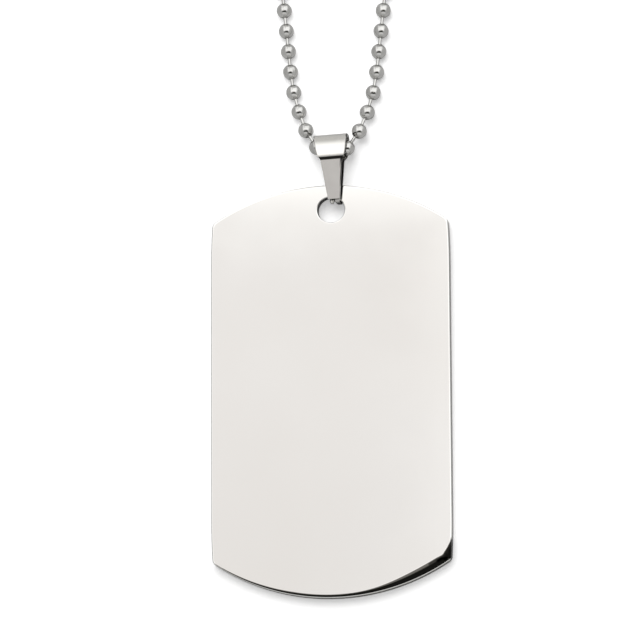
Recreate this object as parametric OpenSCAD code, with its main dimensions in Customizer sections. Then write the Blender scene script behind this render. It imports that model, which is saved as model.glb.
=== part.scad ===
// Dog tag pendant on a ball chain, lying on a flat surface.
// Millimetres. +Y runs from the tag towards the chain, +Z is up, and the surface is at Z = 0.

/* [Tag] */
// Width across the straight sides
tag_w = 35.6; // [26:0.2:44]
// Length from end to end
tag_l = 61.4; // [48:0.2:76]
// Thickness of the plate
tag_t = 2; // [1.4:0.1:2.4]
// How far each curved end rises beyond its corners
end_rise = 5.4; // [3:0.1:8]
// Radius of the corners, seen from the front
corner_r = 1.2; // [0.8:0.1:3]
// Radius of the polished edges
edge_r = 0.5; // [0.3:0.05:0.65]
// Diameter of the hole for the bail
hole_d = 4.1; // [3.8:0.1:6]
// Metal left between the hole and the end
hole_margin = 1.35; // [1:0.05:2]

/* [Bail] */
// Thickness of the folded strip
strip_t = 0.5; // [0.35:0.05:0.6]
// Outer diameter of the loop that holds the chain
loop_d = 5; // [4.8:0.1:6]
// Gap between the two legs
throat = 3.2; // [3:0.1:3.4]
// Length from the bottom bend to the top of the loop
bail_l = 10.4; // [9.5:0.1:13]
// Width of the strip at the top of the loop
bail_top_w = 5; // [4.4:0.1:5.4]
// Width of each leg just below the loop
bail_neck_w = 3.3; // [2.8:0.1:3.8]
// Width of each leg at the bottom bend
bail_foot_w = 1.7; // [1.6:0.05:1.9]
// Outer radius of the bottom bend
bend_r = 0.85; // [0.7:0.05:1]
// Diameter of the round tip of the back leg, seen in the hole
tip_d = 0.64; // [0.5:0.02:0.7]
// How far the bail hangs into the hole, from the hole's edge
bail_drop = 1.4; // [1.1:0.05:1.5]
// How far the bottom bend sits to the right of the hole's middle
bail_side = 0.6; // [0:0.05:0.65]
// Turn of the bail on the tag, in degrees
bail_turn = 3.5; // [0:0.5:5]

/* [Chain] */
// Length of the whole necklace, all the way round
chain_l = 558.8; // [450:0.2:620]
// Diameter of a ball
bead_d = 2.3; // [2.2:0.05:2.4]
// Wall of a hollow ball
bead_wall = 0.2; // [0.15:0.01:0.22]
// Distance between the middles of two balls
bead_pitch = 3.1; // [3.05:0.01:3.2]
// Distance between the balls where the chain bends inside the bail
bail_pitch = 2.55; // [2.5:0.01:2.6]
// Diameter of the short rods between the balls
rod_d = 0.48; // [0.4:0.01:0.52]
// Diameter of a rod's rounded head
head_d = 0.9; // [0.84:0.01:0.96]
// Clearance round a rod and inside a ball
chain_clear = 0.12; // [0.1:0.01:0.14]
// How far the chain lies below the middle of the bail's loop
chain_sag = 0.35; // [0.3:0.05:0.4]
// How far the middle ball lies below the middle of the loop, along the bail
chain_slack = 0.5; // [0.4:0.05:0.6]
// How far the chain has slipped through the bail, to the left
chain_slip = 0.08; // [0:0.02:0.1]

/* [Connector] */
// Distance between the two end balls inside the connector
end_gap = 5.2; // [4.6:0.1:7]
// Thickness of its sheet metal
connector_wall = 0.35; // [0.3:0.05:0.5]
// Width of the slot along its top
slot_w = 0.8; // [0.7:0.05:1]
// Clearance between an end ball and the connector
connector_clear = 0.13; // [0.11:0.01:0.2]

/* [Hidden] */
round_fn = 96;
ball_fn = 32;
small_fn = 24;
// Two parts that lie on each other stay this far apart
seat_gap = 0.08;
// Cutting shapes reach this far past what they cut
past = 1;
// The corners' rounding crosses the sides and the ends at this depth, so that it cuts cleanly
trim_more = 0.05;

// Outline of the tag: an arc over each end, with the corners taken off
end_r = (pow(tag_w / 2, 2) + pow(end_rise, 2)) / (2 * end_rise);
end_mid_y = tag_l / 2 - end_r;
corner_y = tag_l / 2 - end_rise;
corner_turn = asin(tag_w / 2 / end_r);
corner_tilt = (90 - corner_turn) / 2;
corner_trim = corner_r / cos(corner_tilt) - corner_r + trim_more;
hole_y = tag_l / 2 - hole_margin - hole_d / 2;

// Bail, drawn with its bottom bend at y = 0 and its middle plane at z = 0
bead_r = bead_d / 2;
loop_r = loop_d / 2;
leg_out = throat / 2 + strip_t;
loop_y = bail_l - loop_r;
neck_y = loop_y - sqrt(pow(loop_r, 2) - pow(leg_out, 2));
// Outline of the strip from the front: share of the way from neck to top, share of the way from
// the neck's width to the top's width
strip_shape = [[0, 0], [0.14, 0.28], [0.36, 0.43], [1, 1]];
// It lies on the loop and on the end of the back leg
bail_lean = asin(loop_r / norm([loop_y - bend_r, leg_out])) - atan(leg_out / (loop_y - bend_r));
loop_z = loop_r;
bail_z = loop_z - loop_y * sin(bail_lean);
bail_x = loop_y * cos(bail_lean) * sin(bail_turn);
bail_y = hole_d / 2 - bail_drop;

// Tag, leaning on the back leg of the bail just inside its top end
tag_x = bail_x - bail_side;
rest_y = hole_d / 2 + hole_margin - edge_r;
tag_low_y = hole_d / 2 + hole_margin - tag_l;
leg_top_z = bail_z + (rest_y - bail_y) * tan(bail_lean) - throat / 2 / cos(bail_lean);
tag_lean = asin((leg_top_z + seat_gap) / (rest_y - tag_low_y - edge_r));

// One strand of the chain, from the middle ball in the bail: the bends beside the bail, each
// with its length and its turn
length_column = 0;
turn_column = 1;
strand_bends = [
    [bail_pitch, 46],
    [bead_pitch, 21],
    [bead_pitch, 4],
    [2 * bead_pitch, 13],
    [4.5 * bead_pitch, 0],
    [5 * bead_pitch, -22]
];
strand_count = len(strand_bends);
strand_turn = bend_sum(strand_bends, turn_column, strand_count - 1);
strand_used = bend_sum(strand_bends, length_column, strand_count - 1);
strand_end = bend_start(strand_bends, strand_count);
// The rest is a straight flank and an arc over the crown, which close the loop at its real length
half_l = chain_l / 2;
crown_turn = 180 - strand_turn;
crown_arc = crown_turn * PI / 180;
flank_l = (half_l - strand_used - crown_arc * strand_end.x / sin(strand_turn))
    / (1 + crown_arc / tan(strand_turn));
crown_r = (strand_end.x + flank_l * cos(strand_turn)) / sin(strand_turn);
route = concat(strand_bends, [[flank_l, 0], [crown_r * crown_arc, crown_turn]]);
route_starts = [for (i = [0:len(route) - 1]) bend_start(route, i)];
route_y = bail_y + loop_y * cos(bail_lean) * cos(bail_turn) - chain_slack;

// Balls on each side of the middle one, and their real spacing
side_balls = 1 + round((half_l - end_gap / 2 - bail_pitch) / bead_pitch);
pitch = (half_l - end_gap / 2 - bail_pitch) / (side_balls - 1);
connector_bore = bead_r + connector_clear;
connector_r = connector_bore + connector_wall;
// The strands come down to the surface over this length, beside the bail and beside the connector
ramp_l = 9;
rod_bore = rod_d / 2 + chain_clear;
head_out = bead_pitch + chain_clear / 4 - (bead_r - bead_wall - head_d / 2 - chain_clear);

// The whole necklace is centred on the origin
crown_y = ball_place(side_balls).y;
centre_y = (tag_low_y + crown_y + connector_r) / 2;

function bend_sum(bends, column, last) =
    last < 0 ? 0 : bends[last][column] + bend_sum(bends, column, last - 1);

// Shift along an arc of the given length and turn that sets out at the given heading
function arc_shift(length, turn, heading) =
    turn == 0
    ? [length * cos(heading), length * sin(heading)]
    : let (r = length * 180 / PI / turn)
        [r * (sin(heading + turn) - sin(heading)), r * (cos(heading) - cos(heading + turn))];

// Where bend i of a route sets out
function bend_start(bends, i) =
    i == 0
    ? [0, 0]
    : let (before = bends[i - 1], heading = bend_sum(bends, turn_column, i - 2))
        bend_start(bends, i - 1)
            + arc_shift(before[length_column], before[turn_column], heading);

function route_length(i) = bend_sum(route, length_column, i - 1);

// Place on the strand at a length s from the middle ball
function on_strand(s) =
    let (
        i = max([for (k = [0:len(route) - 1]) if (route_length(k) <= s) k]),
        length = route[i][length_column],
        turn = route[i][turn_column],
        share = (s - route_length(i)) / length
    )
    route_starts[i]
        + arc_shift(length * share, turn * share, bend_sum(route, turn_column, i - 1));

function ease(share) = (1 + cos(180 * min(max(share, 0), 1))) / 2;

function ball_length(k) = k == 0 ? 0 : bail_pitch + (k - 1) * pitch;

// Length along the route from the middle of the bail to ball k: left of it both are negative.
// The slip is taken up evenly by the time the strands reach the connector.
function ball_along(k) =
    sign(k) * ball_length(abs(k)) - chain_slip * (1 - abs(k) / side_balls);

function ball_place(k) =
    let (
        s = abs(ball_along(k)),
        place = on_strand(s),
        from_end = ball_length(side_balls) - s,
        bail_rise = (loop_z - chain_sag - bead_r) * ease((s - bail_pitch) / ramp_l),
        crown_rise = (connector_r - bead_r) * ease(from_end / ramp_l)
    )
    [sign(ball_along(k)) * place.x, route_y + place.y, bead_r + bail_rise + crown_rise];

module centred() {
    translate([0, -centre_y, 0])
        children();
}

// Points a shape that is drawn along +Z from one place towards another
module aim(from, to) {
    way = to - from;
    translate(from)
        rotate([0, acos(way.z / norm(way)), atan2(way.y, way.x)])
            children();
}

// Section across the plate, with its polished edges
module plate_section(half) {
    translate([-half, edge_r])
        square([2 * half, tag_t - 2 * edge_r]);
    translate([edge_r - half, 0])
        square([2 * (half - edge_r), tag_t]);
    for (side = [-1, 1], z = [edge_r, tag_t - edge_r])
        translate([side * (half - edge_r), z])
            circle(edge_r, $fn = small_fn);
}

// Wide plate whose round rim shapes one end of the tag
module end_shape() {
    translate([0, end_mid_y, 0]) {
        rotate_extrude($fn = round_fn)
            intersection() {
                plate_section(end_r);
                translate([0, -past])
                    square([end_r + past, tag_t + 2 * past]);
            }
        translate([-end_r, -tag_l, 0])
            cube([2 * end_r, tag_l, tag_t]);
    }
}

// Takes off what stands outside one corner's rounding
module corner_cutter() {
    translate([tag_w / 2, corner_y, -past])
        rotate([0, 0, corner_tilt])
            difference() {
                translate([-corner_r, -corner_r, 0])
                    cube([2 * corner_r, 2 * corner_r, tag_t + 2 * past]);
                translate([-corner_trim - corner_r, 0, -past])
                    cylinder(r = corner_r, h = tag_t + 4 * past, $fn = round_fn);
            }
}

module tag_plate() {
    difference() {
        intersection() {
            rotate([90, 0, 0])
                linear_extrude(tag_l + 2 * past, center = true)
                    plate_section(tag_w / 2);
            end_shape();
            mirror([0, 1, 0])
                end_shape();
        }
        for (side = [0, 1], end = [0, 1])
            mirror([side, 0, 0])
                mirror([0, end, 0])
                    corner_cutter();
        translate([0, hole_y, -past])
            cylinder(d = hole_d, h = tag_t + 2 * past, $fn = round_fn);
    }
}

module tag() {
    color("gainsboro")
        centred()
            translate([tag_x, tag_low_y + edge_r, 0])
                rotate([tag_lean, 0, 0])
                    translate([0, tag_l / 2 - edge_r, 0])
                        tag_plate();
}

// Side view of the strip's outer or inner face: x here is along the bail, y is its depth
module bail_side_view(inset) {
    r = loop_r - inset;
    half = leg_out - inset;
    bend = bend_r - inset;
    translate([loop_y, 0])
        circle(r, $fn = round_fn);
    translate([inset + bend, -half])
        square([loop_y - inset - bend, 2 * half]);
    translate([inset, bend - half])
        square([bend + strip_t, 2 * (half - bend)]);
    for (side = [-1, 1])
        translate([inset + bend, side * (half - bend)])
            circle(bend, $fn = small_fn);
}

module bail_front_view() {
    wide = [for (row = strip_shape) [
        (bail_neck_w + row[1] * (bail_top_w - bail_neck_w)) / 2,
        neck_y + row[0] * (bail_l - neck_y)
    ]];
    half = concat([[bail_foot_w / 2, 0]], wide);
    last = len(half) - 1;
    polygon(concat(half, [for (i = [last:-1:0]) [-half[i].x, half[i].y]]));
}

module bail_strip() {
    intersection() {
        rotate([90, 0, 90])
            linear_extrude(bail_top_w + 2 * past, center = true)
                difference() {
                    bail_side_view(0);
                    bail_side_view(strip_t);
                }
        translate([0, 0, -loop_r - past])
            linear_extrude(loop_d + 2 * past)
                bail_front_view();
    }
}

// The bottom bend closes the right half only. On the left the front leg stops short, and the
// back leg ends in a round tip that stands in the hole.
module bail_body() {
    tip_top = throat / 2 - tip_d;
    difference() {
        bail_strip();
        translate([-bail_foot_w, -past, -throat / 2])
            cube([bail_foot_w, bend_r + past, throat + strip_t + past]);
    }
    translate([-bail_foot_w / 4, bend_r - tip_d / 2, -throat / 2 - strip_t / 2]) {
        cylinder(d = tip_d, h = tip_top + throat / 2 + strip_t / 2, $fn = small_fn);
        translate([0, 0, tip_top + throat / 2 + strip_t / 2])
            sphere(d = tip_d, $fn = small_fn);
    }
}

module bail() {
    color("silver")
        centred()
            translate([bail_x, bail_y, bail_z])
                rotate([0, 0, bail_turn])
                    rotate([bail_lean, 0, 0])
                        bail_body();
}

// Section through a hollow ball and the rod that is fixed in it
module ball_section(has_rod) {
    intersection() {
        translate([0, -bead_d])
            square([bead_d, 3 * bead_d]);
        union() {
            difference() {
                circle(bead_r, $fn = ball_fn);
                circle(bead_r - bead_wall, $fn = ball_fn);
            }
            if (has_rod) {
                translate([0, bead_r - bead_wall / 2])
                    square([rod_d / 2, head_out - bead_r + bead_wall / 2]);
                translate([0, head_out])
                    circle(head_d / 2, $fn = small_fn);
            }
        }
    }
}

// The rod's head is held inside the next ball, and the hole at the back of this ball lets in
// the head of the one before
module ball(k) {
    here = ball_place(k);
    difference() {
        aim(here, ball_place(k + 1))
            rotate_extrude($fn = ball_fn)
                ball_section(k < side_balls);
        if (k > -side_balls)
            aim(here, ball_place(k - 1))
                cylinder(r = rod_bore, h = bead_d, $fn = small_fn);
    }
}

module chain() {
    color("darkgray")
        centred()
            for (k = [-side_balls:side_balls])
                ball(k);
}

// A sleeve that holds the two end balls, open along the top, with a round gap to put them in
module connector() {
    inside = end_gap + 2 * connector_bore;
    color("lightgray")
        centred()
            translate([0, crown_y, connector_r])
                difference() {
                    rotate([0, 90, 0])
                        cylinder(r = connector_r, h = inside + 2 * connector_wall,
                            center = true, $fn = round_fn);
                    rotate([0, 90, 0])
                        cylinder(r = connector_bore, h = inside, center = true, $fn = round_fn);
                    rotate([0, 90, 0])
                        cylinder(r = rod_bore + connector_clear, h = inside + 2 * past + connector_wall,
                            center = true, $fn = small_fn);
                    translate([-inside, -slot_w / 2, 0])
                        cube([2 * inside, slot_w, connector_r + past]);
                    cylinder(r = connector_bore, h = connector_r + past, $fn = round_fn);
                }
}

tag();
bail();
chain();
connector();
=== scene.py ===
# Blank identification tag on its ball chain, polished steel, laid flat on a pale table.
# Sizes are in millimetres, and times mm they are in metres. Y runs from the tag to the chain.
import math
import bmesh
import bpy
from mathutils import Matrix, Vector


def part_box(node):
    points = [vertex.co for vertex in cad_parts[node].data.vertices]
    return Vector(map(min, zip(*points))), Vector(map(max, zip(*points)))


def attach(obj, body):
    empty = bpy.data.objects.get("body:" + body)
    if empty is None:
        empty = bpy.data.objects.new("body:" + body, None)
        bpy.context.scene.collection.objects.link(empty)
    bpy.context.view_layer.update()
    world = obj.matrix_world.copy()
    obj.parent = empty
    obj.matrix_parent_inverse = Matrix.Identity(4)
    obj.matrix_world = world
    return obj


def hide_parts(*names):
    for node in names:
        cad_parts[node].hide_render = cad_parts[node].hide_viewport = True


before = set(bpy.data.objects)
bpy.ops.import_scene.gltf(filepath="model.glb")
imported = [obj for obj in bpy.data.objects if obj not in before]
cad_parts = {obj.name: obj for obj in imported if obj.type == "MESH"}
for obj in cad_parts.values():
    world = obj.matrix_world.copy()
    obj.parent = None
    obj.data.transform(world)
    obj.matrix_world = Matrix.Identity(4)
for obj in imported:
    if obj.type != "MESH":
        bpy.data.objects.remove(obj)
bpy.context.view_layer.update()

mm = 0.001
mergeWithin = 2e-6  # metres
quarters = (0.25, 0.5, 0.75)


def turned(degrees):  # cosine and sine
    return math.cos(math.radians(degrees)), math.sin(math.radians(degrees))


def newPiece(name, points, faces, smooth=True):
    mesh = bpy.data.meshes.new(name)
    mesh.from_pydata([tuple(c * mm for c in p) for p in points], [], faces)
    mesh.validate()
    mesh.update()
    for polygon in mesh.polygons:
        polygon.use_smooth = smooth
    piece = bpy.data.objects.new(name, mesh)
    bpy.context.scene.collection.objects.link(piece)
    return piece


def turnOutwards(piece):  # merges doubles and makes every face point out
    bm = bmesh.new()
    bm.from_mesh(piece.data)
    bmesh.ops.remove_doubles(bm, verts=bm.verts, dist=mergeWithin)
    bmesh.ops.recalc_face_normals(bm, faces=bm.faces)
    bm.to_mesh(piece.data)
    bm.free()


def bakeModifiers(piece):  # the finished shape as a plain mesh
    graph = bpy.context.evaluated_depsgraph_get()
    graph.update()
    plain = bpy.data.meshes.new_from_object(piece.evaluated_get(graph))
    piece.modifiers.clear()
    old = piece.data
    piece.data = plain
    bpy.data.meshes.remove(old)


def latheFaces(start, sides, rows):
    # faces of a turned shape, whose points go up one profile after another
    faces = []
    for k in range(sides):
        here, there = start + k * rows, start + (k + 1) % sides * rows
        faces += [(here + i, there + i, there + i + 1, here + i + 1) for i in range(rows - 1)]
    return faces


def paintShade(piece, paintedShadeAt):
    # this attribute is painted light: the share of the steel's colour that a place keeps, lowered where
    # shade or a dark reflection is painted
    layer = piece.data.color_attributes.new("paintedShade", "FLOAT_COLOR", "POINT")
    for i, vertex in enumerate(piece.data.vertices):
        t = paintedShadeAt(vertex.co / mm)
        layer.data[i].color = (t, t, t, 1)


def dress(piece, material, node):
    piece.data.materials.clear()
    piece.data.materials.append(material)
    for polygon in piece.data.polygons:
        polygon.material_index = 0
    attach(piece, "root")
    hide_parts(node)


# Camera: far off, a little to the lower right of straight down
cameraSizes = {
    "azimuth": 41.64,  # degrees, from the tag's low end round to the right
    "elevation": 78.82,
    "roll": 0.0021,  # radians
    "distance": 1200,
    "focal": 8120.2,  # in pixels of the 640 pixel frame
    "frame": 640,
    "targetAt": (333.53, 392.78),  # pixel that shows the target
    "target": (-0.07, -115.81, 0),
    "sensor": 36,
    "clip": (0.1, 10),  # metres
}


def makeCamera(s):
    ca, sa = turned(s["azimuth"])
    ce, se = turned(s["elevation"])
    towards = Vector((sa * ce, -ca * ce, se))
    place = Vector(s["target"]) + towards * s["distance"]
    right = (-towards).cross(Vector((0, 1, 0))).normalized()
    up = right.cross(-towards)
    right, up = (
        math.cos(s["roll"]) * right + math.sin(s["roll"]) * up,
        math.cos(s["roll"]) * up - math.sin(s["roll"]) * right,
    )
    # the target isn't in the middle of the frame, so the camera looks past it
    aside, above = [(s["frame"] / 2 - pixel) / s["focal"] for pixel in s["targetAt"]]
    look = (-towards + right * aside - up * above).normalized()
    right = (right - look * right.dot(look)).normalized()
    up = right.cross(look)
    data = bpy.data.cameras.new("studioCamera")
    data.sensor_width = s["sensor"]
    data.lens = s["sensor"] * s["focal"] / s["frame"]
    data.clip_start, data.clip_end = s["clip"]
    camera = bpy.data.objects.new("studioCamera", data)
    turn = Matrix((right, up, -look)).transposed()
    camera.matrix_world = Matrix.Translation(place * mm) @ turn.to_4x4()
    bpy.context.scene.collection.objects.link(camera)
    bpy.context.scene.camera = camera


makeCamera(cameraSizes)
print("camera placed")


# Materials
def newMaterial(name):
    material = bpy.data.materials.new(name)
    material.use_nodes = True
    tree = material.node_tree
    tree.nodes.clear()
    return material, tree


def addNode(tree, kind, values=None, **settings):
    node = tree.nodes.new(kind)
    for key, value in settings.items():
        setattr(node, key, value)
    for key, value in (values or {}).items():
        node.inputs[key].default_value = value
    return node


def noiseFrom(tree, coordinates, scale, detail, stretch=(1, 1, 1)):
    mapping = addNode(tree, "ShaderNodeMapping", {"Scale": stretch})
    tree.links.new(coordinates, mapping.inputs["Vector"])
    noise = addNode(tree, "ShaderNodeTexNoise", {"Scale": scale, "Detail": detail})
    tree.links.new(mapping.outputs["Vector"], noise.inputs["Vector"])
    return noise.outputs["Fac"]


def mapped(tree, value, low, high, toLow, toHigh):
    limits = {"From Min": low, "From Max": high, "To Min": toLow, "To Max": toHigh}
    node = addNode(tree, "ShaderNodeMapRange", limits)
    tree.links.new(value, node.inputs["Value"])
    return node.outputs["Result"]


# What the three steels share: the noises' ends and detail, and the bumps' heights in metres
steelGrain = {
    "cloudEnds": (0.35, 0.65),
    "cloudDetail": 2,
    "hazeEnds": (0.3, 0.7),
    "hazeDetail": 4,
    "polishDetail": 3,
    "polishHigh": 2e-6,
    "waveDetail": 1,
    "waveHigh": 1e-4,
}


def polishedSteel(name, s):
    g = steelGrain
    material, tree = newMaterial(name)
    out = addNode(tree, "ShaderNodeOutputMaterial")
    steel = addNode(tree, "ShaderNodeBsdfPrincipled", {"Metallic": 1.0})
    place = addNode(tree, "ShaderNodeTexCoord").outputs["Object"]
    cloud = noiseFrom(tree, place, s["cloudScale"], g["cloudDetail"])
    tint = addNode(tree, "ShaderNodeMix", data_type="RGBA")
    tint.inputs["A"].default_value = (*s["colour"], 1)
    tint.inputs["B"].default_value = (*s["cloudColour"], 1)
    tree.links.new(mapped(tree, cloud, *g["cloudEnds"], 0, 1), tint.inputs["Factor"])
    # painted shade and painted reflection from the attribute darken the steel's colour
    paintedShade = addNode(tree, "ShaderNodeAttribute", attribute_name="paintedShade")
    withPaintedShade = addNode(tree, "ShaderNodeMix", data_type="RGBA", blend_type="MULTIPLY")
    withPaintedShade.inputs["Factor"].default_value = 1
    tree.links.new(tint.outputs["Result"], withPaintedShade.inputs["A"])
    tree.links.new(paintedShade.outputs["Color"], withPaintedShade.inputs["B"])
    tree.links.new(withPaintedShade.outputs["Result"], steel.inputs["Base Color"])
    haze = noiseFrom(tree, place, s["hazeScale"], g["hazeDetail"])
    tree.links.new(mapped(tree, haze, *g["hazeEnds"], *s["roughness"]), steel.inputs["Roughness"])
    polish = noiseFrom(tree, place, s["polishScale"], g["polishDetail"], s["polishStretch"])
    waves = noiseFrom(tree, place, s["waveScale"], g["waveDetail"])
    fine = addNode(tree, "ShaderNodeBump", {"Strength": s["polishStrength"], "Distance": g["polishHigh"]})
    broad = addNode(tree, "ShaderNodeBump", {"Strength": s["waveStrength"], "Distance": g["waveHigh"]})
    tree.links.new(polish, fine.inputs["Height"])
    tree.links.new(waves, broad.inputs["Height"])
    tree.links.new(broad.outputs["Normal"], fine.inputs["Normal"])
    tree.links.new(fine.outputs["Normal"], steel.inputs["Normal"])
    tree.links.new(steel.outputs["BSDF"], out.inputs["Surface"])
    return material


tagSteel = polishedSteel("tagSteel", {
    "colour": (0.93, 0.925, 0.905),
    "cloudColour": (0.91, 0.9, 0.875),
    "cloudScale": 40,
    "roughness": (0.035, 0.06),
    "hazeScale": 90,
    "polishScale": 900,
    "polishStretch": (1, 0.15, 1),
    "polishStrength": 0.12,
    "waveScale": 60,
    "waveStrength": 0.02,
})
bailSteel = polishedSteel("bailSteel", {
    "colour": (0.84, 0.83, 0.8),
    "cloudColour": (0.8, 0.785, 0.76),
    "cloudScale": 300,
    "roughness": (0.06, 0.11),
    "hazeScale": 700,
    "polishScale": 2500,
    "polishStretch": (1, 0.2, 1),
    "polishStrength": 0.15,
    "waveScale": 300,
    "waveStrength": 0.03,
})
beadSteel = polishedSteel("beadSteel", {
    "colour": (0.72, 0.715, 0.7),
    "cloudColour": (0.64, 0.635, 0.62),
    "cloudScale": 500,
    "roughness": (0.05, 0.09),
    "hazeScale": 900,
    "polishScale": 3000,
    "polishStretch": (1, 1, 1),
    "polishStrength": 0.1,
    "waveScale": 600,
    "waveStrength": 0.02,
})
print("materials made")


# Tag: rings of points from the cut edge over the rounding and the polished facet to the flat face
tagSizes = {
    "width": 35.6,
    "length": 61.4,
    "thick": 2,
    "endRise": 5.4,  # how far each end rises beyond its corners
    "cornerR": 0.9,
    "cornerIn": 1.4,  # corner radius of the innermost ring
    "inset": 3,  # how far in that ring lies
    "loopSteps": (30, 14, 46),  # steps on half a side, on a corner and on half an end
    "lean": 0.6206,  # degrees, the top end raised
    "aside": -0.08,  # along x
    "turn": 0.36,  # degrees, its low end towards the right
    "taper": 0.005,  # share by which the top end is narrower than the middle
    "bow": (0.2, 6),  # how far the sides draw in at the corners, and over what length
    "rimR": 0.15,  # rounding of the cut edge
    "rimSteps": 7,
    "facetCorner": 1.3,  # width of the facet at the lower right corner
    "facetLow": 0.33,  # along the lower end
    "facetGrow": 12,  # how far from the left side it reaches that width
    "facetElse": 0.04,
    "facetReach": (8.5, 2.4),  # how far along the lower end the wide stretch runs, how softly it ends
    "facetUp": (0.8, 2.2),  # how far below the corner it starts to fade, and over what height
    "facetSlope": (0.1, 0.28),  # at the face and at the rounding
    "facetShares": (0.75, 0.5, 0.25, 0.08, 0),  # rings across it, from the rounding to the face
    "facetSoft": 0.06,  # a ring on the face, this far past it
    "holeD": 4.1,
    "holeMargin": 1.45,
    "holeX": 0.2,
    "holeFlat": 0.93,  # its height as a share of its width
    "holeR": 0.12,  # rounding of its edges
    "holeRoundSteps": 4,
    "holeSoft": 0.06,  # a ring on each face, this far past the rounding
    "holeWall": (0.75, 0.62, 0.5, 0.38, 0.25),  # heights of the rings on its wall
    "holeSteps": 96,
    # painted shade, painted highlight and painted reflection, as shares of the steel's colour
    # painted shade on the hole's wall
    "holePaintedShade": 0.2,
    "holeNear": 0.02,  # a place that close to the wall is on it
    "holeHighlightLine": (2.2, 0.1),  # painted highlight, a lighter line round the middle of the wall: gain, half its height
    # painted shade on the cut edges, by side: darkest on the left, then right and top, none on the low end
    "edgePaintedShades": {"left": 0.5, "right": 0.6, "low": 1, "top": 0.6},
    "edgeNear": 0.3,  # a place that close to the outline is on the cut edge
    "edgeDeep": 0.5,  # and so is one this far below the face
    "edgeShares": (0.75, 0.6, 0.8),  # of the rounding: left and right from outside, the face from above
    "cornerPaintedReflection": (0.16, 0.05),  # painted dark reflection on the wide facet at the corner, inner and outer part
    "cornerDeep": (0.012, 0.07),  # how far below the face each part starts
    "cornerZone": (3.5, -1.5, 3),  # how far in it reaches, and its low and high end from the corner
    "cornerStart": (0.12, 0.25, 0.1),  # start above the corner, its fall inwards, start on the rounding
}


def tagLoop(s, inset, radius):
    # points round the plate, moved in by inset, the same number on each stretch
    half, end = s["width"] / 2, s["length"] / 2
    endR = (half ** 2 + s["endRise"] ** 2) / (2 * s["endRise"])
    midY = end - endR
    x, r = half - inset, endR - inset
    turn = math.asin((x - radius) / (r - radius))
    cornerX, cornerY = x - radius, midY + (r - radius) * math.cos(turn)
    sideSteps, cornerSteps, endSteps = s["loopSteps"]
    quarter = [(x, cornerY * (1 - (1 - i / sideSteps) ** 2)) for i in range(sideSteps)]
    for i in range(cornerSteps):
        a = (math.pi / 2 - turn) * i / cornerSteps
        quarter.append((cornerX + radius * math.cos(a), cornerY + radius * math.sin(a)))
    for i in range(endSteps + 1):
        a = turn * (1 - i / endSteps)
        quarter.append((r * math.sin(a), midY + r * math.cos(a)))
    top = quarter + [(-px, py) for px, py in quarter[-2::-1]]
    return [(px * tagShare(s, py), py) for px, py in top + [(px, -py) for px, py in top[-2:0:-1]]]


def tagShare(s, y):
    # how much of its width the plate has at this height
    half, end = s["width"] / 2, s["length"] / 2
    bow, bowLong = s["bow"]
    near = (abs(y) - end + s["endRise"] + bowLong) / bowLong
    return 1 - bow / half * min(max(0, near), 1) ** 2 - s["taper"] * y / end


def facetWide(s, x, y):
    # width of the polished facet beside a place on the outline
    half, cornerY = s["width"] / 2, s["length"] / 2 - s["endRise"]
    below, fade = s["facetUp"]
    up = max(0, y + cornerY + below) / fade
    if up > 0 and x < 0:
        return s["facetElse"]
    low = s["facetElse"] + (s["facetLow"] - s["facetElse"]) * min((half + x) / s["facetGrow"], 1)
    reach, soft = s["facetReach"]
    wide = low + (s["facetCorner"] - low) / (1 + math.exp((half - x - reach) / soft))
    return s["facetElse"] + (wide - s["facetElse"]) * math.exp(-up * up)


def makeTag(s):
    outer = tagLoop(s, 0, s["cornerR"])
    inner = tagLoop(s, s["inset"], s["cornerIn"])
    count = len(outer)
    rim, soft = s["rimR"], s["facetSoft"]
    first, last = s["facetSlope"]
    wide = [facetWide(s, x, y) for x, y in outer]
    rounding = [turned(90 * i / s["rimSteps"]) for i in range(s["rimSteps"] + 1)]

    def ringOf(depthAt, dropAt):
        ring = []
        for k in range(count):
            depth = depthAt(k)
            place = Vector(outer[k]).lerp(Vector(inner[k]), min(depth / s["inset"], 1))
            ring.append((place[0], place[1], dropAt(k)))
        return ring

    def facetDrop(k, share):  # share runs from the flat face out to the rounding
        return wide[k] * (first * share + (last - first) * share ** 2 / 2)

    rings = []
    for c, d in rounding:
        rings.append(ringOf(lambda k: rim * (1 - c), lambda k: facetDrop(k, 1) + rim * (1 - d)))
    for share in s["facetShares"]:
        rings.append(ringOf(lambda k: rim + wide[k] * (1 - share), lambda k: facetDrop(k, share)))
    rings.append(ringOf(lambda k: rim + wide[k] + soft, lambda k: 0))
    points, faces, starts = [], [], []
    for ring in rings:
        starts.append(len(points))
        points += [(x, y, s["thick"] - drop) for x, y, drop in ring]
    # the underside has the same rounding and no facet
    under = [len(points)]
    points += ringOf(lambda k: rim + soft, lambda k: 0)
    for c, d in rounding[::-1]:
        under.append(len(points))
        points += ringOf(lambda k: rim * (1 - c), lambda k: rim * (1 - d))
    for a, b in list(zip(starts, starts[1:])) + list(zip(under, under[1:])):
        faces += wallOf(a, b, count)
    faces += wallOf(starts[0], under[-1], count)  # cut edge between the two roundings
    return points, faces, starts[-1], under[0], count


def wallOf(first, second, count):
    return [(first + k, first + (k + 1) % count, second + (k + 1) % count, second + k) for k in range(count)]


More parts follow.
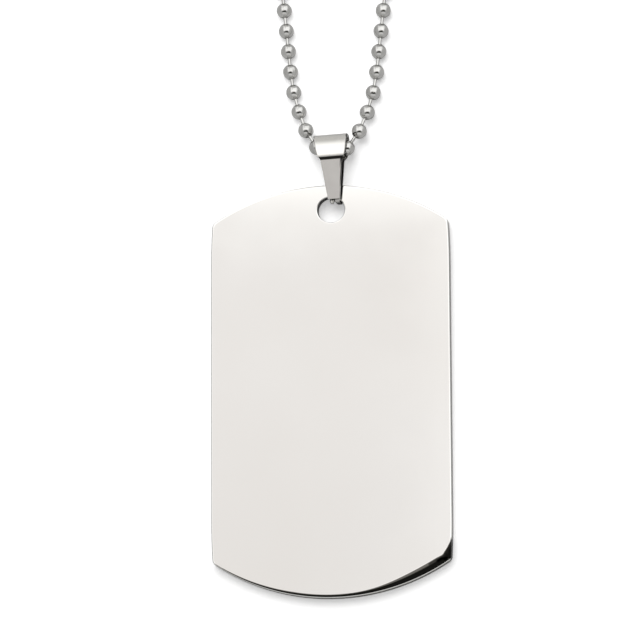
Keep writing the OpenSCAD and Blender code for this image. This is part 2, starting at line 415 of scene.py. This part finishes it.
def addHole(s, points, faces, holeY):
    # rounded edge, wall, rounded edge
    r, soft, thick = s["holeD"] / 2, s["holeR"], s["thick"]
    profile = [(r + soft + s["holeSoft"], thick)]
    for i in range(s["holeRoundSteps"] + 1):
        c, d = turned(90 * i / s["holeRoundSteps"])
        profile.append((r + soft - soft * d, thick - soft + soft * c))
    rounded = list(profile)
    profile += [(r, thick * share) for share in s["holeWall"]]
    profile += [(x, thick - z) for x, z in rounded[::-1]]
    rings = []
    for px, pz in profile:
        rings.append(len(points))
        for k in range(s["holeSteps"]):
            c, d = turned(360 * k / s["holeSteps"])
            points.append((s["holeX"] + px * c, holeY + px * d * s["holeFlat"], pz))
    for a, b in zip(rings, rings[1:]):
        faces += wallOf(a, b, s["holeSteps"])
    return rings[0], rings[-1]


def fillBetween(piece, loops):
    # a flat face between two rings, each given by its first point and its count
    bm = bmesh.new()
    bm.from_mesh(piece.data)
    bm.verts.ensure_lookup_table()
    for pair in loops:
        edges = []
        for first, n in pair:
            for k in range(n):
                ends = (bm.verts[first + k], bm.verts[first + (k + 1) % n])
                edges.append(bm.edges.get(ends) or bm.edges.new(ends))
        made = bmesh.ops.triangle_fill(bm, edges=edges, use_beauty=True, use_dissolve=False)
        for face in made["geom"]:
            if isinstance(face, bmesh.types.BMFace):
                face.smooth = True
    bm.to_mesh(piece.data)
    bm.free()


def tagPaintedShade(s, holeY):
    # painted shade in the hole, with a painted highlight line round its wall, painted shade on the cut
    # edges, and a painted dark reflection on the wide facet at the corner
    half, cornerY = s["width"] / 2, s["length"] / 2 - s["endRise"]
    thick, rim, near, edgeShades = s["thick"], s["rimR"], s["edgeNear"], s["edgePaintedShades"]
    lineGain, lineHalf = s["holeHighlightLine"]
    leftShare, rightShare, faceShare = s["edgeShares"]
    innerDeep, outerDeep = s["cornerDeep"]
    zoneIn, zoneLow, zoneHigh = s["cornerZone"]
    start, fall, rimStart = s["cornerStart"]

    def paintedShadeAt(p):
        fromHole = Vector((p.x - s["holeX"], (p.y - holeY) / s["holeFlat"])).length - s["holeD"] / 2
        # painted shade on the hole's wall, with a painted highlight line round its middle
        if fromHole < s["holeNear"]:
            return s["holePaintedShade"] * (lineGain if abs(p.z - thick / 2) < lineHalf else 1)
        fromEdge = half * tagShare(s, p.y) - abs(p.x)
        up = p.y + cornerY
        # painted shade on the left cut edge
        if p.x < 0 and abs(p.y) < cornerY and fromEdge < leftShare * rim and p.z > near:
            return edgeShades["left"]
        # painted dark reflection on the wide facet at the corner
        inZone = p.x > 0 and fromEdge < zoneIn and zoneLow < up < zoneHigh
        started = up > start - fall * fromEdge and (fromEdge > rightShare * rim or up > rimStart)
        if inZone and started and p.z < thick - innerDeep:
            return s["cornerPaintedReflection"][0 if p.z > thick - outerDeep else 1]
        if p.z > thick - faceShare * rim or p.z < near:
            return 1
        # painted shade on the right, top and low cut edges
        if abs(p.y) < cornerY - near:
            return edgeShades["right"] if p.x > 0 and fromEdge < near else 1
        onEdge = fromEdge < near or p.z < thick - s["edgeDeep"]
        return edgeShades["top" if p.y > 0 else "low"] if onEdge else 1

    return paintedShadeAt


def buildTag(s):
    points, faces, topRing, lowRing, count = makeTag(s)
    holeY = s["length"] / 2 - s["holeMargin"] - s["holeD"] * (2 - s["holeFlat"]) / 2
    holeTop, holeLow = addHole(s, points, faces, holeY)
    piece = newPiece("tagPlate", points, faces)
    steps = s["holeSteps"]
    fillBetween(piece, [((topRing, count), (holeTop, steps)), ((lowRing, count), (holeLow, steps))])
    turnOutwards(piece)
    paintShade(piece, tagPaintedShade(s, holeY))
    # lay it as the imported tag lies: pivot on its low end, top end raised
    low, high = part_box("tag")
    toPlace = Matrix.Translation(((low[0] + high[0]) / 2 + s["aside"] * mm, low[1] + s["rimR"] * mm, 0))
    toPivot = Matrix.Translation((0, (s["length"] / 2 - s["rimR"]) * mm, 0))
    leaning = Matrix.Rotation(math.radians(s["lean"]), 4, "X")
    turning = Matrix.Rotation(math.radians(s["turn"]), 4, "Z")
    piece.data.transform(toPlace @ leaning @ toPivot @ turning)
    piece.data.update()
    return piece


tagPlate = buildTag(tagSizes)
dress(tagPlate, tagSteel, "tag")
print("tag plate made:", len(tagPlate.data.polygons), "faces")


# Bail: one strip round a loop, a pinch, two legs and a bend at the foot
bailSizes = {
    "strip": 0.5,
    "length": 10.27,
    "legOut": 2.1,  # from the middle plane to a leg's outer face
    "loopDeep": 2.5,  # and to the loop's
    "pinchY": (6.5, 6.93),  # the strip steps up to the loop between these two
    "creaseEase": 0.01,
    "creaseNear": (0.04, 0.1),  # lines that far from a crease keep it crisp
    "brow": (2, 18, 2.5),  # tilt of the loop's front at its foot and below its top, and its length up
    "browSteps": 10,
    "overSteps": 12,  # from there over to the top
    "bendR": 0.85,  # at the back leg's foot
    "bendFront": 0.55,  # at the front leg's
    "bendSteps": 8,
    "bendFrom": 0.25,  # the bend is there only right of this share of half the width
    "widths": [(0, 0.8), (6.54, 1.65), (7.08, 2.03), (7.93, 2.23), (10.4, 2.5)],  # height, half the width
    "across": (-1, -0.93, -0.86, -0.3, 0.2, 0.66, 0.76, 0.86, 0.94, 1),  # where the cells lie across it
    "backFrom": 0.3,  # what lies that far behind the middle plane is the back leg
    "backIn": 0.18,  # which is that much narrower on each side
    "backFade": (0.6, 2),  # up to that far above the crest, and growing over that height from the foot
    "tipD": 0.64,
    "tipAt": (-0.4, 0.2),
    "tipLean": (-0.4, 0.6),  # where its foot stands, from its top
    "tipFoot": 0.12,  # how deep its foot is in the back leg
    "tipSteps": 6,
    "tipSides": 20,
    "lean": 3.2806,  # degrees
    "turn": 3.5,
    "place": (0.4815, -87.8615, 2.0479),
    "edge": 0.05,  # rounding of the arrises sharper than edgeAngle
    "edgeSteps": 3,
    "edgeAngle": 50,
    # painted shade, as shares of the steel's colour
    # painted shade in the crease, also used along the plate's right edge
    "pinchPaintedShade": 0.03,
    # painted shade: the front plate kept darker than the loop
    "platePaintedShade": 0.69,
    # painted shade on the strip's sides
    "sidePaintedShade": 0.1,
    # painted shade inside the strip
    "innerPaintedShade": 0.12,
    "sideFrom": 0.995,  # past this share of its width a place is on the strip's side
    "creaseTone": 0.03,  # how far below a crease the next painted shade starts
    "skin": (0.1, 0.3),  # how far below the plate's face the back starts, and the inside
    "shade": (0.85, 0.15),  # share of its width where painted shade starts on the plate's right edge, its gain to the foot
}


def bailHalfWidth(s, y):
    rows = s["widths"]
    for (y0, w0), (y1, w1) in zip(rows, rows[1:]):
        if y <= y1:
            return w0 + (w1 - w0) * max(0, (y - y0) / (y1 - y0))
    return rows[-1][1]


def bailFront(s):
    # outer line of the strip's front half in side view, from the bend's end to the loop's top
    lowY, (footY, crestY) = s["bendFront"], s["pinchY"]
    near, far = s["creaseNear"]
    out, deep, ease = s["legOut"], s["loopDeep"], s["creaseEase"]
    line = [(lowY, out), (lowY + near, out), (lowY + far, out)]
    line += [(lowY + (footY - lowY) * share, out) for share in quarters]
    line += [(footY - far, out), (footY - near, out), (footY, out + ease)]
    line += [(footY + (crestY - footY) * share, out + (deep - out) * share) for share in quarters]
    line += [(crestY, deep - ease), (crestY + near, deep), (crestY + far, deep)]
    # the loop's front tilts back slowly, then turns over the top
    firstTilt, lastTilt, browLong = s["brow"]
    y, z = line[-1]
    steps = s["browSteps"]
    for i in range(steps):
        c, d = turned(firstTilt + (lastTilt - firstTilt) * (i + 0.5) / steps)
        y, z = y + browLong / steps * c, z - browLong / steps * d
        line.append((y, z))
    c, d = turned(lastTilt)
    overR = (s["length"] - y) / (1 - d)
    midY, midZ = y - overR * d, z - overR * c
    for i in range(1, s["overSteps"] + 1):
        c, d = turned(lastTilt + (90 - lastTilt) * i / s["overSteps"])
        line.append((midY + overR * d, midZ + overR * c))
    return line + [(s["length"], 0)]


def insetLine(line, depth):
    # the same line moved in by the strip's thickness
    moved = []
    for i, p in enumerate(line):
        before, after = Vector(line[max(i - 1, 0)]), Vector(line[min(i + 1, len(line) - 1)])
        way = (after - before).normalized()
        moved.append((p[0] + way[1] * depth, p[1] - way[0] * depth))
    return moved


def bailBend(s, inset):
    # bend at the foot, from the back leg round to the front leg
    steps, line = s["bendSteps"], []
    for i in range(steps + 1):
        c, d = turned(90 * i / steps)
        r = s["bendR"] - inset
        line.append((s["bendR"] - r * d, -(s["legOut"] - s["bendR"] + r * c)))
    for i in range(steps + 1):
        c, d = turned(90 * i / steps)
        r = s["bendFront"] - inset
        line.append((s["bendFront"] - r * c, s["legOut"] - s["bendFront"] + r * d))
    return line


def backNarrowing(s, y):
    aboveCrest, growth = s["backFade"]
    return s["backIn"] * min(max(0, s["pinchY"][1] + aboveCrest - y), 1) * min(y / growth, 1)


def makeStrip(s):
    front = bailFront(s)
    lines = []
    for line, inset in ((front, 0), (insetLine(front, s["strip"]), s["strip"])):
        lines.append(line + [(y, -z) for y, z in line[-2::-1]] + bailBend(s, inset)[1:-1])
    outer = lines[0]
    count, across, columns = len(outer), s["across"], len(s["across"])
    points, faces = [], []
    for line in lines:
        for (y, z), (yOut, zOut) in zip(line, outer):
            half = bailHalfWidth(s, yOut)
            if zOut < -s["backFrom"]:
                half -= backNarrowing(s, yOut)
            points += [(half * share, y, z) for share in across]

    def at(layer, i, j):
        return (layer * count + i % count) * columns + j

    bendFirst = 2 * len(front) - 2
    kept = {(i, j) for i in range(count) for j in range(columns - 1)
            if i < bendFirst or across[j + 1] >= s["bendFrom"]}
    for i, j in kept:
        n = i + 1
        faces.append((at(0, i, j), at(0, n, j), at(0, n, j + 1), at(0, i, j + 1)))
        faces.append((at(1, i, j + 1), at(1, n, j + 1), at(1, n, j), at(1, i, j)))
        if (i, j - 1) not in kept:
            faces.append((at(1, i, j), at(1, n, j), at(0, n, j), at(0, i, j)))
        if (i, j + 1) not in kept:
            faces.append((at(0, i, j + 1), at(0, n, j + 1), at(1, n, j + 1), at(1, i, j + 1)))
        if ((i - 1) % count, j) not in kept:
            faces.append((at(0, i, j), at(0, i, j + 1), at(1, i, j + 1), at(1, i, j)))
        if (n % count, j) not in kept:
            faces.append((at(1, n, j), at(1, n, j + 1), at(0, n, j + 1), at(0, n, j)))
    return points, faces


def addTip(s, points, faces):
    # round tip of the back leg, standing in the hole
    tipX, tipY = s["tipAt"]
    leanX, leanY = s["tipLean"]
    r, sides = s["tipD"] / 2, s["tipSides"]
    footZ, topZ = -s["legOut"] + s["tipFoot"], s["legOut"] - s["strip"] - s["tipD"]
    profile = [(0, footZ), (r, footZ)]
    for i in range(s["tipSteps"] + 1):
        c, d = turned(90 * i / s["tipSteps"])
        profile.append((r * c, topZ + r * d))
    start = len(points)
    for k in range(sides):
        c, d = turned(360 * k / sides)
        for px, pz in profile:
            lean = max(0, topZ - pz) / (topZ + s["legOut"])
            points.append((tipX + leanX * lean + px * c, tipY + leanY * lean + px * d, pz))
    faces += latheFaces(start, sides, len(profile))


def bailPaintedShade(s):
    # painted shade on the strip's sides, inside it, in the crease and along the plate's right edge; the
    # plate itself painted darker than the loop
    footY, crestY = s["pinchY"]
    backDeep, insideDeep = s["skin"]
    shadeFrom, shadeGain = s["shade"]

    def paintedShadeAt(p):
        side = abs(p.x) / bailHalfWidth(s, p.y)
        # painted shade on the strip's sides
        if side > s["sideFrom"] and p.y > s["bendR"]:
            return s["sidePaintedShade"]
        if p.y > crestY - s["creaseTone"]:
            return 1
        # painted shade inside the strip, behind the plate
        if p.z < s["legOut"] - backDeep:
            inside = abs(p.z) < s["legOut"] - insideDeep and p.y > s["bendR"]
            return s["innerPaintedShade"] if inside else 1
        # painted shade in the crease
        if p.y > footY - s["creaseTone"]:
            return s["pinchPaintedShade"]
        # painted shade along the plate's right edge, widening to the foot
        shaded = p.x > 0 and side > shadeFrom + shadeGain * (footY - p.y) / footY
        return s["pinchPaintedShade"] if shaded else s["platePaintedShade"]

    return paintedShadeAt


def buildBail(s):
    points, faces = makeStrip(s)
    addTip(s, points, faces)
    piece = newPiece("bailStrip", points, faces)
    turnOutwards(piece)
    soften = piece.modifiers.new("edges", "BEVEL")
    soften.width = s["edge"] * mm
    soften.segments = s["edgeSteps"]
    soften.limit_method = "ANGLE"
    soften.angle_limit = math.radians(s["edgeAngle"])
    bakeModifiers(piece)
    for polygon in piece.data.polygons:
        polygon.use_smooth = True
    paintShade(piece, bailPaintedShade(s))
    toPlace = Matrix.Translation([c * mm for c in s["place"]])
    turning = Matrix.Rotation(math.radians(s["turn"]), 4, "Z")
    leaning = Matrix.Rotation(math.radians(s["lean"]), 4, "X")
    piece.data.transform(toPlace @ turning @ leaning)
    piece.data.update()
    return piece


bailStrip = buildBail(bailSizes)
dress(bailStrip, bailSteel, "bail")
print("bail made:", len(bailStrip.data.polygons), "faces")


# Chain: the balls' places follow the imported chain's route
chainSizes = {
    "length": 558.8,  # all the way round
    "beadD": 2.3,
    "pitch": 3.1,
    "bailPitch": 2.55,
    "rodD": 0.48,
    "rodSides": 12,
    "rodRows": 4,
    "endGap": 5.2,  # between the two balls in the connector
    "routeY": -80.39,  # the ball in the bail
    "bailZ": 2.15,  # heights of the balls in the bail and in the connector
    "connectorZ": 1.63,
    "ramp": 9,  # over which the chain comes down to the table from each
    "bends": [(2.55, 46), (3.1, 21), (3.1, 4), (6.2, 13), (13.95, 0), (15.5, -22)],  # length, turn
    "slip": 0.15,  # how far the chain has run to the left through the bail
    "sides": 16,
    "ballSteps": 5,  # from the hole's rim to the middle
    "ballHole": 0.36,  # radius
    "ballRim": (0.06, 0.2, 0.25),  # the hole's rim: width, depth of its wall and of its floor, in radii
    "seamTurn": 4,  # half the seam's width, degrees
    "seamDeep": 0.035,
    "seed": 7,
}


def arcShift(length, turn, heading):
    # the way from one end of an arc to the other, heading in degrees from x
    c0, s0 = turned(heading)
    if turn == 0:
        return length * c0, length * s0
    r = length * 180 / math.pi / turn
    c1, s1 = turned(heading + turn)
    return r * (s1 - s0), r * (c0 - c1)


def chainRoute(s):
    route = list(s["bends"])
    x = y = heading = 0
    for length, turn in route:
        dx, dy = arcShift(length, turn, heading)
        x, y, heading = x + dx, y + dy, heading + turn
    used, half = sum(length for length, turn in route), s["length"] / 2
    c, d = turned(heading)
    crownTurn = 180 - heading
    arc = math.radians(crownTurn)
    flank = (half - used - arc * x / d) / (1 + arc * c / d)
    crownR = (x + flank * c) / d
    return route + [(flank, 0), (crownR * arc, crownTurn)]


def ballPlaces(s):
    route = chainRoute(s)

    def onStrand(along):
        x = y = heading = 0
        for i, (length, turn) in enumerate(route):
            if along < length or i == len(route) - 1:
                share = along / length
                dx, dy = arcShift(length * share, turn * share, heading)
                return x + dx, y + dy
            dx, dy = arcShift(length, turn, heading)
            x, y, heading, along = x + dx, y + dy, heading + turn, along - length

    def ease(share):
        return (1 + turned(180 * min(max(share, 0), 1))[0]) / 2

    reach = s["length"] / 2 - s["endGap"] / 2
    sideBalls = 1 + round((reach - s["bailPitch"]) / s["pitch"])
    pitch = (reach - s["bailPitch"]) / (sideBalls - 1)
    places = []
    for k in range(-sideBalls, sideBalls + 1):
        run = 0 if k == 0 else math.copysign(s["bailPitch"] + (abs(k) - 1) * pitch, k)
        run -= s["slip"] * (1 - abs(k) / sideBalls)
        along = abs(run)
        x, y = onStrand(along)
        z = s["beadD"] / 2
        z += (s["bailZ"] - s["beadD"] / 2) * ease((along - s["bailPitch"]) / s["ramp"])
        z += (s["connectorZ"] - s["beadD"] / 2) * ease((reach - along) / s["ramp"])
        places.append((math.copysign(x, run), s["routeY"] + y, z))
    return places


def buildBall(s):
    # one ball of unit radius, with a hole at each pole and the seam down one side
    hole, seamDeep = 2 * s["ballHole"] / s["beadD"], 2 * s["seamDeep"] / s["beadD"]
    rim, wallDeep, floorDeep = s["ballRim"]
    rimZ = math.sqrt(1 - (hole + rim) ** 2)
    profile = [(0, rimZ - floorDeep), (hole, rimZ - wallDeep), (hole + rim, rimZ)]
    first = math.degrees(math.acos(rimZ))
    for i in range(1, s["ballSteps"]):
        c, d = turned(first + (90 - first) * i / s["ballSteps"])
        profile.append((d, c))
    profile = profile + [(1, 0)] + [(r, -z) for r, z in profile[::-1]]
    seam, spans = s["seamTurn"], s["sides"] - 2
    turns = [0, seam] + [seam + (360 - 2 * seam) * i / spans for i in range(1, spans)] + [360 - seam]
    points = []
    for angle in turns:
        c, d = turned(angle)
        for r, z in profile:
            size = 1 - seamDeep if angle == 0 and r > hole else 1
            points.append((r * c * size, r * d * size, z * size))
    faces = latheFaces(0, len(turns), len(profile))
    piece = newPiece("ballShape", [tuple(c / mm for c in p) for p in points], faces)
    turnOutwards(piece)
    return piece


def chainTree(s):
    # balls on the points of a path and rods along its edges
    tree = bpy.data.node_groups.new("ballChain", "GeometryNodeTree")
    face = tree.interface
    face.new_socket("Geometry", in_out="INPUT", socket_type="NodeSocketGeometry")
    for name, kind in (("Ball Diameter", "Float"), ("Rod Diameter", "Float"), ("Ball", "Object"),
                       ("Seed", "Int"), ("Steel", "Material")):
        face.new_socket(name, in_out="INPUT", socket_type="NodeSocket" + kind)
    face.new_socket("Geometry", in_out="OUTPUT", socket_type="NodeSocketGeometry")
    link = tree.links.new
    given = addNode(tree, "NodeGroupInput").outputs
    # balls, turned to the path, each rolled by a random angle
    curve = addNode(tree, "GeometryNodeMeshToCurve")
    link(given["Geometry"], curve.inputs["Mesh"])
    aim = addNode(tree, "FunctionNodeAlignRotationToVector", axis="Z")
    roll = addNode(tree, "FunctionNodeRandomValue", data_type="FLOAT_VECTOR")
    roll.inputs["Min"].default_value = (0, 0, 0)
    roll.inputs["Max"].default_value = (0, 0, 2 * math.pi)
    link(given["Seed"], roll.inputs["Seed"])
    spin = addNode(tree, "FunctionNodeRotateRotation", rotation_space="LOCAL")
    link(aim.outputs["Rotation"], spin.inputs["Rotation"])
    link(roll.outputs["Value"], spin.inputs["Rotate By"])
    source = addNode(tree, "GeometryNodeObjectInfo")
    link(given["Ball"], source.inputs["Object"])
    balls = addNode(tree, "GeometryNodeInstanceOnPoints")
    toPoints = addNode(tree, "GeometryNodeCurveToPoints", mode="EVALUATED")
    link(curve.outputs["Curve"], toPoints.inputs["Curve"])
    link(toPoints.outputs["Points"], balls.inputs["Points"])
    link(toPoints.outputs["Tangent"], aim.inputs["Vector"])
    link(source.outputs["Geometry"], balls.inputs["Instance"])
    link(spin.outputs["Rotation"], balls.inputs["Rotation"])
    half = addNode(tree, "ShaderNodeMath", operation="MULTIPLY")
    half.inputs[1].default_value = 0.5
    link(given["Ball Diameter"], half.inputs[0])
    link(half.outputs[0], balls.inputs["Scale"])
    # rods, one on each edge, as long as the edge
    ends = addNode(tree, "GeometryNodeInputMeshEdgeVertices")
    way = addNode(tree, "ShaderNodeVectorMath", operation="SUBTRACT")
    link(ends.outputs["Position 2"], way.inputs[0])
    link(ends.outputs["Position 1"], way.inputs[1])
    length = addNode(tree, "ShaderNodeVectorMath", operation="LENGTH")
    link(way.outputs["Vector"], length.inputs[0])
    keepWay = addNode(tree, "GeometryNodeCaptureAttribute", domain="EDGE")
    keepWay.capture_items.new("VECTOR", "way")
    keepWay.capture_items.new("FLOAT", "length")
    link(given["Geometry"], keepWay.inputs["Geometry"])
    link(way.outputs["Vector"], keepWay.inputs["way"])
    link(length.outputs["Value"], keepWay.inputs["length"])
    middles = addNode(tree, "GeometryNodeMeshToPoints", mode="EDGES")
    link(keepWay.outputs["Geometry"], middles.inputs["Mesh"])
    rodAim = addNode(tree, "FunctionNodeAlignRotationToVector", axis="Z")
    link(keepWay.outputs["way"], rodAim.inputs["Vector"])
    shape = {"Vertices": s["rodSides"], "Side Segments": s["rodRows"], "Radius": 0.5, "Depth": 1.0}
    rod = addNode(tree, "GeometryNodeMeshCylinder", shape)
    rodSize = addNode(tree, "ShaderNodeCombineXYZ")
    reach = addNode(tree, "ShaderNodeMath", operation="SUBTRACT")
    link(keepWay.outputs["length"], reach.inputs[0])
    link(half.outputs[0], reach.inputs[1])
    link(given["Rod Diameter"], rodSize.inputs["X"])
    link(given["Rod Diameter"], rodSize.inputs["Y"])
    link(reach.outputs[0], rodSize.inputs["Z"])
    rods = addNode(tree, "GeometryNodeInstanceOnPoints")
    link(middles.outputs["Points"], rods.inputs["Points"])
    link(rod.outputs["Mesh"], rods.inputs["Instance"])
    link(rodAim.outputs["Rotation"], rods.inputs["Rotation"])
    link(rodSize.outputs["Vector"], rods.inputs["Scale"])
    join = addNode(tree, "GeometryNodeJoinGeometry")
    link(balls.outputs["Instances"], join.inputs[0])
    link(rods.outputs["Instances"], join.inputs[0])
    real = addNode(tree, "GeometryNodeRealizeInstances")
    link(join.outputs[0], real.inputs[0])
    smooth = addNode(tree, "GeometryNodeSetShadeSmooth")
    link(real.outputs[0], smooth.inputs["Geometry"])
    paint = addNode(tree, "GeometryNodeSetMaterial")
    link(smooth.outputs[0], paint.inputs["Geometry"])
    link(given["Steel"], paint.inputs["Material"])
    link(paint.outputs["Geometry"], addNode(tree, "NodeGroupOutput").inputs[0])
    return tree


def buildChain(s):
    places = ballPlaces(s)
    edges = [(i, i + 1) for i in range(len(places) - 1)]
    mesh = bpy.data.meshes.new("beadChain")
    mesh.from_pydata([tuple(c * mm for c in p) for p in places], edges, [])
    piece = bpy.data.objects.new("beadChain", mesh)
    bpy.context.scene.collection.objects.link(piece)
    ball = buildBall(s)
    tree = chainTree(s)
    strung = piece.modifiers.new("strung", "NODES")
    strung.node_group = tree
    sockets = {i.name: i.identifier for i in tree.interface.items_tree if i.in_out == "INPUT"}
    strung[sockets["Ball Diameter"]] = s["beadD"] * mm
    strung[sockets["Rod Diameter"]] = s["rodD"] * mm
    strung[sockets["Ball"]] = ball
    strung[sockets["Seed"]] = s["seed"]
    strung[sockets["Steel"]] = beadSteel
    bakeModifiers(piece)
    bpy.data.objects.remove(ball)
    return piece


beadChain = buildChain(chainSizes)
paintShade(beadChain, lambda p: 1)
dress(beadChain, beadSteel, "chain")
print("chain made:", len(beadChain.data.polygons), "faces")


# Connector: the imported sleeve, merged and with its arrises kept crisp
connectorSizes = {
    "sharpest": 30,  # degrees between two faces that are still shaded as one
}


def buildConnector(s):
    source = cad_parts["connector"]
    piece = bpy.data.objects.new("chainConnector", source.data.copy())
    bpy.context.scene.collection.objects.link(piece)
    turnOutwards(piece)
    bm = bmesh.new()
    bm.from_mesh(piece.data)
    for edge in bm.edges:
        edge.smooth = len(edge.link_faces) == 2 and edge.calc_face_angle(0) < math.radians(s["sharpest"])
    for face in bm.faces:
        face.smooth = True
    bm.to_mesh(piece.data)
    bm.free()
    return piece


chainConnector = buildConnector(connectorSizes)
paintShade(chainConnector, lambda p: 1)
dress(chainConnector, bailSteel, "connector")
print("connector made")


# Studio: pale floor under an even sky and a large soft lamp. What the metal reflects is a bright
# overhead card, a dark gap below it where the camera stands, and a lower card.
studio = {
    "floorSize": 3000,
    "floorColour": (0.64, 0.64, 0.635),  # as the metal sees it
    "floorShown": 0.98,  # as the camera sees it, with a faint glow that keeps its shadows light
    "floorGlow": 0.41,
    "skyLight": 0.1,  # on what isn't metal
    "backdrop": 1.0,
    "surround": (0.5, 0.5, 0.495),  # what the metal reflects outside the cards
    # each, by the ray's x and y: middle, half width, half height, softness in x, in y, how its ends
    # droop, then its brightness
    "cards": [
        ("overheadFar", (0.1, 0.6, 0.6, 0.3, 0.2, 0.05, 0.0), (1.25, 1.25, 1.24)),
        ("overhead", (0.1, 0.25, 0.66, 0.35, 0.16, 0.08, 0.0), (1.3, 1.3, 1.29)),
        ("bailTop", (-0.175, 0.8, 0.05, 0.27, 0.015, 0.09, 0.0), (0.58, 0.575, 0.56)),
        ("onFace", (-0.12, 0.04, 0.2, 0.1077, 0.03, 0.0022, 0.0), (0.885, 0.862, 0.85)),
        ("faceLow", (-0.12, 0.0, 0.2, 0.113, 0.03, 0.02, 0.0), (0.85, 0.828, 0.816)),
        ("faceRight", (0.0, 0.04, 0.1162, 0.1077, 0.0012, 0.0022, 0.0), (0.975, 0.955, 0.945)),
        ("gap", (0.1, -0.265, 0.5, 0.185, 0.06, 0.03, 0.35), (0.008, 0.008, 0.007)),
        ("gapRight", (0.3, -0.05, 0.26, 0.08, 0.02, 0.02, 0.0), (0.1, 0.095, 0.085)),
        ("brown", (0.1, -0.13, 0.5, 0.05, 0.06, 0.02, 0.35), (0.16, 0.152, 0.14)),
        ("lower", (0.1, -0.66, 0.45, 0.18, 0.08, 0.06, 0.0), (0.75, 0.75, 0.74)),
    ],
    "key": (-60, 200, 640),
    "keyAim": (0, -100, 0),
    "keySize": 600,
    "keyPower": 4.0,
}


def makeWorld(s):
    world = bpy.data.worlds.new("studio")
    bpy.context.scene.world = world
    world.use_nodes = True
    tree = world.node_tree
    tree.nodes.clear()
    link = tree.links.new
    axes = addNode(tree, "ShaderNodeSeparateXYZ")
    link(addNode(tree, "ShaderNodeTexCoord").outputs["Generated"], axes.inputs[0])

    def calculate(kind, first, second):
        node = addNode(tree, "ShaderNodeMath", operation=kind)
        for socket, value in zip(node.inputs, (first, second)):
            if isinstance(value, (int, float)):
                socket.default_value = value
            else:
                link(value, socket)
        return node.outputs[0]

    def band(value, half, soft):  # 1 within half of the middle, falling softly to 0
        limits = {"From Min": half - soft, "From Max": half + soft, "To Min": 1.0, "To Max": 0.0}
        fall = addNode(tree, "ShaderNodeMapRange", limits, interpolation_type="SMOOTHSTEP")
        link(calculate("ABSOLUTE", value, 0), fall.inputs["Value"])
        return fall.outputs["Result"]

    colour = addNode(tree, "ShaderNodeRGB")
    colour.outputs[0].default_value = (*s["surround"], 1)
    colour = colour.outputs[0]
    for name, (x, y, halfX, halfY, softX, softY, droop), bright in s["cards"]:
        awayX = calculate("SUBTRACT", axes.outputs["X"], x)
        awayY = calculate("SUBTRACT", axes.outputs["Y"], y)
        fallen = calculate("MULTIPLY", calculate("MULTIPLY", awayX, awayX), droop)
        awayY = calculate("ADD", awayY, fallen)
        mix = addNode(tree, "ShaderNodeMix", data_type="RGBA", label=name)
        inCard = calculate("MULTIPLY", band(awayX, halfX, softX), band(awayY, halfY, softY))
        link(inCard, mix.inputs["Factor"])
        link(colour, mix.inputs["A"])
        mix.inputs["B"].default_value = (*bright, 1)
        colour = mix.outputs["Result"]
    rays = addNode(tree, "ShaderNodeLightPath")
    for ray, value in (("Is Diffuse Ray", s["skyLight"]), ("Is Camera Ray", s["backdrop"])):
        mix = addNode(tree, "ShaderNodeMix", data_type="RGBA")
        link(rays.outputs[ray], mix.inputs["Factor"])
        link(colour, mix.inputs["A"])
        mix.inputs["B"].default_value = (value, value, value, 1)
        colour = mix.outputs["Result"]
    glow = addNode(tree, "ShaderNodeBackground")
    link(colour, glow.inputs["Color"])
    link(glow.outputs[0], addNode(tree, "ShaderNodeOutputWorld").inputs["Surface"])


def makeStudio(s):
    makeWorld(s)
    material, tree = newMaterial("paleFloor")
    link = tree.links.new
    paint = addNode(tree, "ShaderNodeBsdfDiffuse")
    shown = addNode(tree, "ShaderNodeMix", data_type="RGBA")
    straight = addNode(tree, "ShaderNodeLightPath").outputs["Is Camera Ray"]
    link(straight, shown.inputs["Factor"])
    shown.inputs["A"].default_value = (*s["floorColour"], 1)
    shown.inputs["B"].default_value = (s["floorShown"], s["floorShown"], s["floorShown"], 1)
    link(shown.outputs["Result"], paint.inputs["Color"])
    glow = addNode(tree, "ShaderNodeEmission")
    dim = addNode(tree, "ShaderNodeMath", operation="MULTIPLY")
    dim.inputs[1].default_value = s["floorGlow"]
    link(straight, dim.inputs[0])
    link(dim.outputs[0], glow.inputs["Strength"])
    both = addNode(tree, "ShaderNodeAddShader")
    link(paint.outputs[0], both.inputs[0])
    link(glow.outputs[0], both.inputs[1])
    link(both.outputs[0], addNode(tree, "ShaderNodeOutputMaterial").inputs["Surface"])
    r = s["floorSize"]
    corners = [(-r, -r, 0), (r, -r, 0), (r, r, 0), (-r, r, 0)]
    floor = newPiece("studioFloor", corners, [(0, 1, 2, 3)], smooth=False)
    floor.data.materials.append(material)

    data = bpy.data.lights.new("keyLight", "AREA")
    data.shape = "DISK"
    data.size = s["keySize"] * mm
    data.energy = s["keyPower"]
    key = bpy.data.objects.new("keyLight", data)
    place, aim = Vector(s["key"]) * mm, Vector(s["keyAim"]) * mm
    facing = (aim - place).to_track_quat("-Z", "Y").to_matrix().to_4x4()
    key.matrix_world = Matrix.Translation(place) @ facing
    key.visible_glossy = False
    key.visible_camera = False
    bpy.context.scene.collection.objects.link(key)


makeStudio(studio)
view = bpy.context.scene.view_settings
view.view_transform = "Standard"
view.look = "None"
print("studio lit")
